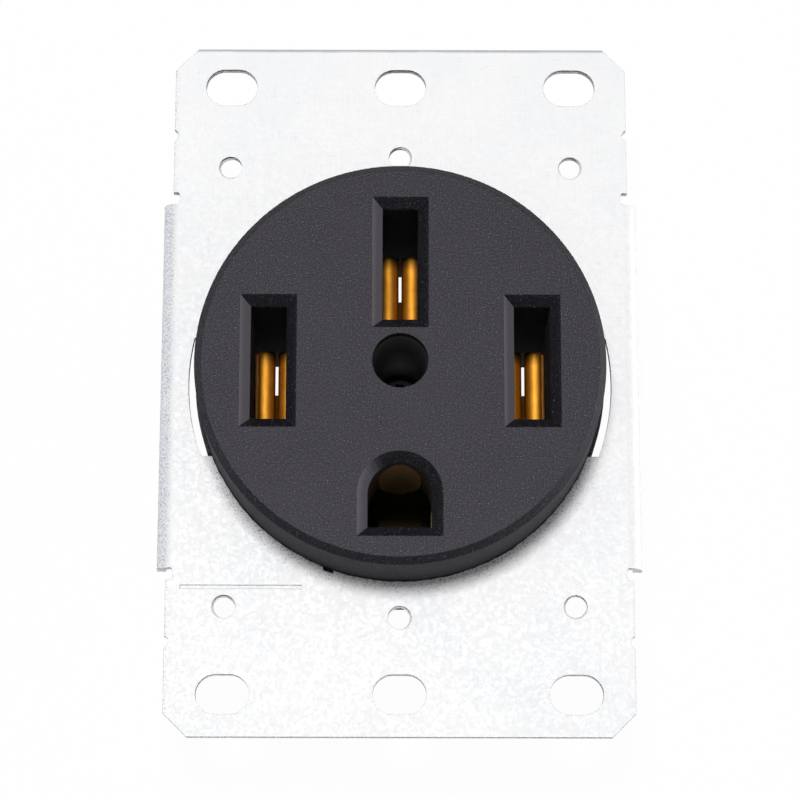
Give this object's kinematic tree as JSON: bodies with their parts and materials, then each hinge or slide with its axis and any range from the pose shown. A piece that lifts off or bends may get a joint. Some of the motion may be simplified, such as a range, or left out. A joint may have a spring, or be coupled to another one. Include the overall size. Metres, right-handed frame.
{
  "type": "flush mounting power socket",
  "caption": "Round-faced power socket on a folded sheet steel mounting strap, with flat blade slots, a rounded ground slot, brass jaws behind them and wire lugs at the back.",
  "frame": {"origin": "middle of the box screw pattern, on the back of the mounting strap", "axes": "+X across the strap, +Y along it towards the neutral slot, +Z out of the face; the part lies on the flat back of its body"},
  "size_m": [0.064, 0.0944, 0.0367],
  "materials": {
    "zinc_sheet": "galvanised sheet, faint spangle",
    "face_plastic": "matt moulded, fine pale fleck",
    "body_plastic": "matt moulded",
    "contact_brass": "bright rolled strip",
    "lug_brass": "extruded and sawn",
    "screw_steel": "zinc plated",
    "black_steel": "black oxide",
    "spring_steel": "bright spring strip"
  },
  "bodies": {
    "root": {"body": "body_plastic", "bonding_strip": "contact_brass", "face": "face_plastic", "ground_jaw": "contact_brass", "ground_lug": "lug_brass", "ground_screw": "screw_steel", "hex_nut": "screw_steel", "line_x_clip": "spring_steel", "line_x_jaw": "contact_brass", "line_x_lug": "lug_brass", "line_x_screw": "screw_steel", "line_y_clip": "spring_steel", "line_y_jaw": "contact_brass", "line_y_lug": "lug_brass", "line_y_screw": "screw_steel", "middle_screw": "black_steel", "mounting_strap": "zinc_sheet", "neutral_clip": "spring_steel", "neutral_jaw": "contact_brass", "neutral_lug": "lug_brass", "neutral_screw": "screw_steel", "spring_washer": "spring_steel"}
  },
  "joints": []
}
